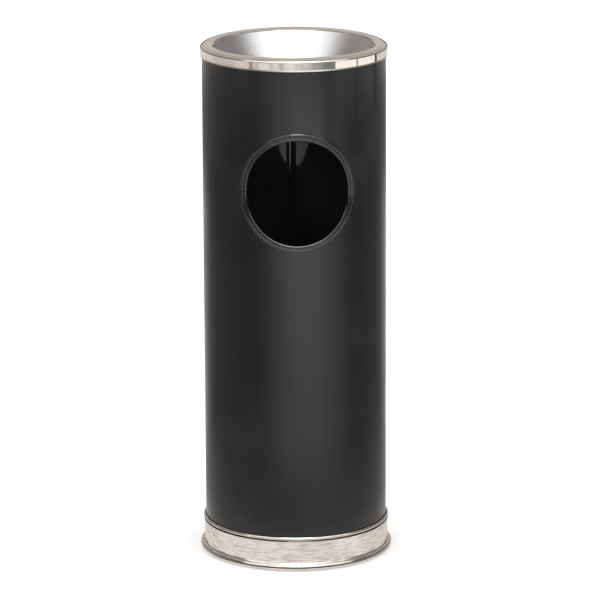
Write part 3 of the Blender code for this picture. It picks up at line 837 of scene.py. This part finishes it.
def locating_collar(material):
    leg_radius = BODY_RADIUS - SHEET - 0.0018
    corner = arc((leg_radius - 0.0010, COLLAR_Z - 0.0010), 0.0010, 90, 0, 6)
    line = [(CREST_RADIUS - COLLAR_HALF_WIDTH, COLLAR_Z), *corner, (leg_radius, COLLAR_Z - COLLAR_DEPTH)]
    collar = turned("collar", thicken(line, SHEET), material)
    cut(collar, sheet_holes(STUD_HOLE_RADIUS, CREST_RADIUS, STUD_ANGLES, COLLAR_Z))
    put(collar, "ash_top", "locating_collar")


def rim_studs(material):
    head_top = HEIGHT - SHEET - 2 * GAP
    stud_end = COLLAR_Z - 0.0068
    stud = [
        (0, stud_end),
        (STUD_RADIUS - 0.0006, stud_end),
        *reversed(threaded(STUD_RADIUS, STUD_PITCH, stud_end + 0.0003, stud_end + 0.0065)),
        (STUD_RADIUS, head_top - 0.0009),
        (STUD_HEAD_RADIUS - 0.0006, head_top - 0.0007),
        (STUD_HEAD_RADIUS, head_top - 0.0004),
        (STUD_HEAD_RADIUS, head_top),
        (0, head_top),
    ]
    nut_top = COLLAR_Z - SHEET / 2 - GAP
    for number, angle in enumerate(STUD_ANGLES, 1):
        x, y = on_circle(CREST_RADIUS, angle)
        piece = turned(f"stud_{number}", stud, material, SMALL_ROUND)
        put(piece, "ash_top", f"rim_stud_{number}", (x, y, 0))
        piece = hexagon_nut(f"stud_nut_{number}", 0.0070, 0.0032, STUD_HOLE_RADIUS, material)
        put(piece, "ash_top", f"rim_nut_{number}", (x, y, nut_top), (0, 0, angle))


# ---------------------------------------------------------------- liner


def liner_punches():
    """Cutters for the rivet holes, each across the wall and an ear."""
    outer = LINER_RADIUS - LINER_SHEET - GAP
    punches = []
    for sign in (-1, 1):
        for drop in RIVET_DROPS:
            punch = pegs("rivet_hole", RIVET_HOLE_RADIUS, -CUT_DEPTH, CUT_DEPTH, [(0, 0)])
            punch.location = (sign * outer, 0, LINER_TOP - drop)
            punch.rotation_euler = (0, math.radians(90), 0)
            punches.append(punch)
    return punches


def liner_wall(material):
    middle = LINER_RADIUS - LINER_SHEET / 2
    roll_centre = (middle + LINER_ROLL, LINER_TOP - LINER_ROLL - LINER_SHEET / 2)
    line = [(middle, LINER_BOTTOM), (middle, LINER_TOP / 2), *arc(roll_centre, LINER_ROLL, 180, -90, 20)]
    wall = turned("liner_side", thicken(line, LINER_SHEET), material)
    for punch in liner_punches():
        cut(wall, punch)
    put(wall, "liner", "liner_wall")


def liner_bottom(material):
    skirt = LINER_RADIUS - LINER_SHEET - GAP - LINER_SHEET / 2
    corner = arc((skirt - 0.0015, LINER_FLOOR_Z - 0.0015), 0.0015, 90, 0, 8)
    line = [(0, LINER_FLOOR_Z), (0.05, LINER_FLOOR_Z), *corner, (skirt, LINER_BOTTOM + GAP)]
    floor = turned("liner_floor", thicken(line, LINER_SHEET), material)
    put(floor, "liner", "liner_bottom")


def liner_ear(side, turn, material):
    """A curved plate with rounded corners, riveted inside the wall, with a hole for the bail."""
    outer = LINER_RADIUS - LINER_SHEET - GAP
    inner = outer - EAR_SHEET
    reach = math.radians(EAR_HALF_ANGLE) * outer
    fractions = [math.sin(math.pi / 2 * i / 12) for i in range(-12, 13)]
    rings = []
    for fraction in fractions:
        across = fraction * reach
        past = max(0.0, abs(across) - (reach - EAR_CORNER))
        inset = EAR_CORNER - math.sqrt(max(0.0, EAR_CORNER**2 - past**2))
        inset = min(inset, EAR_CORNER - 0.0003)
        angle = math.radians(turn) + across / outer
        c, s = math.cos(angle), math.sin(angle)
        low, high = EAR_LOW + inset, EAR_HIGH - inset
        corners = ((inner, low), (outer, low), (outer, high), (inner, high))
        rings.append([(r * c, r * s, z) for r, z in corners])
    ear = swept(f"bail_ear_{side}", rings, material)
    soften(ear, 0.0002)
    hole = pegs("pivot_hole", PIVOT_HOLE_RADIUS, -CUT_DEPTH, CUT_DEPTH, [(0, 0)])
    hole.location = (math.copysign(outer, math.cos(math.radians(turn))), 0, BAIL_PIVOT_Z)
    hole.rotation_euler = (0, math.radians(90), 0)
    cut(ear, hole)
    for punch in liner_punches():
        cut(ear, punch)
    put(ear, "liner", f"liner_ear_{side}")


def ear_rivets(material):
    near, far = LINER_RADIUS - LINER_SHEET - 2 * GAP - EAR_SHEET, LINER_RADIUS + GAP
    head, bulge = 0.0036, 0.0012
    dome = [(head * math.cos(a), bulge * math.sin(a)) for a in [math.radians(90 * i / 8) for i in range(9)]]
    rivet = [
        *[(r, near - h) for r, h in reversed(dome)],
        (RIVET_RADIUS, near),
        (RIVET_RADIUS, far),
        *[(r, far + h) for r, h in dome],
    ]
    number = 1
    for sign in (-1, 1):
        for drop in RIVET_DROPS:
            piece = turned(f"rivet_{number}", rivet, material, SMALL_ROUND)
            place = (0, 0, LINER_TOP - drop)
            put(piece, "liner", f"ear_rivet_{number}", place, (0, sign * 90, 0))
            number += 1


def liner_bail(material):
    """Wire handle, built level about its pivot and then let down onto the liner's rim at the back."""
    bend, bend_steps, arc_steps = 0.0030, 8, 96
    corner = math.degrees(bend / BAIL_RADIUS)
    half = [(BAIL_END, 0)]
    for i in range(bend_steps + 1):
        a = math.radians(-90 + 90 * i / bend_steps)
        half.append((BAIL_RADIUS - bend + bend * math.cos(a), bend + bend * math.sin(a)))
    sweep = [corner + (180 - 2 * corner) * i / arc_steps for i in range(1, arc_steps)]
    line = half + [on_circle(BAIL_RADIUS, a) for a in sweep] + [(-x, y) for x, y in reversed(half)]
    rings = []
    for i, (x, y) in enumerate(line):
        before, after = line[max(i - 1, 0)], line[min(i + 1, len(line) - 1)]
        dx, dy = after[0] - before[0], after[1] - before[1]
        size = math.hypot(dx, dy)
        section = [on_circle(BAIL_WIRE, 22.5 * k) for k in range(16)]
        rings.append([(x - dy / size * u, y + dx / size * u, v) for u, v in section])
    bail = swept("bail", rings, material)
    soften(bail, 0.0005, 3)
    put(bail, "bail", "liner_bail", (0, 0, BAIL_PIVOT_Z), (-BAIL_DROOP, 0, 0))


# ---------------------------------------------------------------- studio

FLOOR_RADIUS = 60
FLOOR_Z = -0.0002
LENS = 249.5
SENSOR_WIDTH = 36
CAMERA_DISTANCE = 4.985
CAMERA_HEIGHT = 1.572
CAMERA_YAW, CAMERA_PITCH, CAMERA_ROLL = math.radians(1.98), math.radians(14.04), math.radians(-0.28)
# The sky that dull surfaces see is plain white.
TENT_STRENGTH = 1.45
# The soft reflector above the camera, as nested discs on the sky: (azimuth, elevation, full out to,
# gone by, radiance), angles in degrees.
REFLECTOR = (
    (1, 40, 55, 63, (1.42, 1.41, 1.39)),
    (6, 48, 17, 29, (1.9, 1.9, 1.9)),
    (2, 74, 12, 15, (7, 7, 7)),
    (-4, 54, 6, 8, (8, 8, 8)),
    (4, 54, 7, 9, (8, 8, 8)),
    (12, 54, 6, 8, (8, 8, 8)),
)
# What polished pieces see at the far end of the floor: (from, to, softness, radiance), in degrees of bearing.
FAR_STRIPS = (
    (-57, -53, 1, (0.42, 0.31, 0.30)),
    (49.5, 114, 0.5, (1.2, 1.17, 1.14)),
    (80, 82, 0.5, (0.3, 0.3, 0.3)),
    (114.5, 119, 0.5, (0.05, 0.045, 0.04)),
)


def bearing(nodes, vector):
    """Degrees around the bin of a vector: 0 towards the camera's side, 90 to the bin's right in the view."""
    parts = nodes.node("SeparateXYZ", {0: vector}).outputs
    turn = nodes.math("ARCTAN2", parts[0], nodes.math("MULTIPLY", parts[1], -1.0))
    return nodes.math("DEGREES", turn)


def mirrored_floor(m):
    """What polished pieces see of the floor: paper near the bin, pale and grey boards further away."""
    turn = bearing(m, m.place)
    aside = m.math("ABSOLUTE", turn)
    away = m.length(m.place)
    grey = (0.26, 0.25, 0.245)

    paper = m.mix(m.remap(aside, 45, 110, 0, 1), (0.97, 0.95, 0.93), (0.80, 0.75, 0.71))
    near = m.mix(m.remap(away, 0.19, 0.34, 0, 1), paper, (0.47, 0.47, 0.47))
    middle = m.mix(m.remap(aside, 122, 158, 0, 1), grey, (0.72, 0.62, 0.59))
    middle = m.mix(m.remap(away, 1.9, 2.5, 0, 0.65), middle, (0.03, 0.03, 0.03))
    front = m.mix(m.remap(away, 1.2, 2.0, 0, 1), (1.1, 1.1, 1.1), (1.6, 1.6, 1.6))
    middle = m.mix(m.window(turn, 6, 20, 58), middle, front)
    edge = m.math("MULTIPLY", m.window(turn, 34, 80, 1), m.remap(away, 1.6, 1.8, 0, 0.35))
    middle = m.mix(edge, middle, grey)
    gap = m.math("MULTIPLY", m.window(turn, -67, -64, 0.6), m.remap(away, 1.7, 1.9, 0, 0.9))
    middle = m.mix(gap, middle, (0.02, 0.02, 0.02))

    boards = m.mix(m.remap(turn, -5, 48, 0, 1), (0.80, 0.79, 0.78), (0.20, 0.215, 0.245))
    boards = m.scaled(boards, m.remap(m.noise(2.4, 4), 0.38, 0.62, 0.65, 1.15))
    far = m.mix(m.window(turn, -57, 49, 0.5), (0.78, 0.74, 0.70), boards)
    for start, end, soft, colour in FAR_STRIPS:
        far = m.mix(m.window(turn, start, end, soft), far, colour)

    # Paper out to 0.34 m, boards from 0.8 m and again from 3.2 m, and a dim end beyond 5 m.
    tone = m.mix(m.remap(away, 0.34, 0.80, 0, 1), near, middle)
    tone = m.mix(m.remap(away, 3.2, 3.28, 0, 1), tone, far)
    return m.mix(m.remap(away, 5.0, 6.5, 0, 1), tone, (0.12, 0.11, 0.10))


def floor():
    """Plain white paper, except in the reflections."""
    shape = bmesh.new()
    bmesh.ops.create_circle(shape, cap_ends=True, radius=FLOOR_RADIUS, segments=96)
    m = Finish("studio_floor", Roughness=0.9, Specular_IOR_Level=0.1)
    in_gloss = m.node("LightPath").outputs["Is Glossy Ray"]
    m.finish(m.mix(in_gloss, (0.91, 0.91, 0.91), (0, 0, 0)))
    m.tree.links.new(m.mix(in_gloss, (0, 0, 0), mirrored_floor(m)), m.shader.inputs["Emission Color"])
    m.shader.inputs["Emission Strength"].default_value = 1.0
    ground = add_object("studio_floor", shape, m.material)
    ground.location.z = FLOOR_Z


def surroundings():
    """A white tent. Glossy reflections show a large soft reflector above the camera and dim walls."""
    world = bpy.data.worlds.new("studio")
    world.use_nodes = True
    world.cycles.sampling_method = "NONE"
    bpy.context.scene.world = world
    w = Nodes(world.node_tree)
    way = w.node("TexCoord").outputs["Generated"]
    turn = bearing(w, way)
    aside = w.math("ABSOLUTE", turn)
    rise = w.math("DEGREES", w.math("ARCSINE", w.height(way)))

    skirting = w.math("SUBTRACT", rise, w.remap(aside, 95, 165, 40, 5))
    walls = w.mix(w.remap(skirting, -3, 3, 0, 1), (0.15, 0.132, 0.120), (0.50, 0.465, 0.44))
    tone = w.mix(w.remap(aside, 158, 172, 0, 1), walls, (0.60, 0.555, 0.52))
    for azimuth, elevation, inner, outer, colour in REFLECTOR:
        a, e = math.radians(azimuth), math.radians(elevation)
        axis = (math.sin(a) * math.cos(e), -math.cos(a) * math.cos(e), math.sin(e))
        aim = w.node("VectorMath", {0: way, 1: axis}, operation="DOT_PRODUCT").outputs["Value"]
        inside = w.remap(aim, math.cos(math.radians(outer)), math.cos(math.radians(inner)), 0, 1)
        tone = w.mix(inside, tone, colour)
    horizon = w.math("SUBTRACT", rise, w.remap(aside, 60, 120, 16, 4.5))
    tone = w.mix(w.remap(horizon, -2, 2, 0, 1), (0.06, 0.055, 0.05), tone)

    mirrored = w.node("Background", {"Color": tone}).outputs[0]
    white = w.tree.nodes["Background"]
    white.inputs["Color"].default_value = (1, 1, 1, 1)
    white.inputs["Strength"].default_value = TENT_STRENGTH
    in_gloss = w.node("LightPath").outputs["Is Glossy Ray"]
    mixed = w.node("MixShader", {0: in_gloss, 1: white.outputs[0], 2: mirrored}).outputs[0]
    w.tree.links.new(mixed, w.tree.nodes["World Output"].inputs["Surface"])


def camera():
    """A long lens, a little above the bin and a touch to its left."""
    data = bpy.data.cameras.new("camera")
    data.sensor_width = SENSOR_WIDTH
    data.lens = LENS
    seen = bpy.data.objects.new("camera", data)
    seen.rotation_mode = "QUATERNION"
    turn = Matrix.Rotation(-CAMERA_YAW, 4, "Z") @ Matrix.Rotation(math.radians(90) - CAMERA_PITCH, 4, "X")
    turn = turn @ Matrix.Rotation(CAMERA_ROLL, 4, "Z")
    seen.rotation_quaternion = turn.to_quaternion()
    x, y = -CAMERA_DISTANCE * math.sin(CAMERA_YAW), -CAMERA_DISTANCE * math.cos(CAMERA_YAW)
    seen.location = (x, y, CAMERA_HEIGHT)
    bpy.context.scene.collection.objects.link(seen)
    bpy.context.scene.camera = seen


def main():
    paint = black_paint("black_paint", gloss=0.16, spread=0.08, peel_height=0.000014)
    inner_paint = black_paint("inner_black_paint", 0.03, 0.02, 0.000003, lift=4.0, shine=0.28)
    vinyl, seam, steel = black_vinyl(), seam_paint(), zinc()
    # The plinth's nickel carries the painted shade lines at the lip and under the bead.
    plinth_metal_painted_shade = nickel("plinth_nickel_painted_shade", stains=0.7, painted_shade_bands=PLINTH_PAINTED_SHADE)
    rim_metal = nickel("rim_nickel", stains=0.12)
    spun, dipped, soft = satin_aluminium(), galvanised(), rubber()

    body_shell(paint, inner_paint, seam)
    opening_trim(vinyl)
    base_ring(plinth_metal_painted_shade)
    clamp_ring(steel)
    base_pan(paint)
    feet(soft, steel)

    rim_ring(rim_metal)
    ash_bowl(spun)
    locating_collar(paint)
    rim_studs(steel)

    liner_wall(dipped)
    liner_bottom(dipped)
    liner_ear("left", 180, dipped)
    liner_ear("right", 0, dipped)
    ear_rivets(dipped)
    liner_bail(steel)

    floor()
    surroundings()
    camera()
    bpy.context.scene.view_settings.view_transform = "Standard"


main()
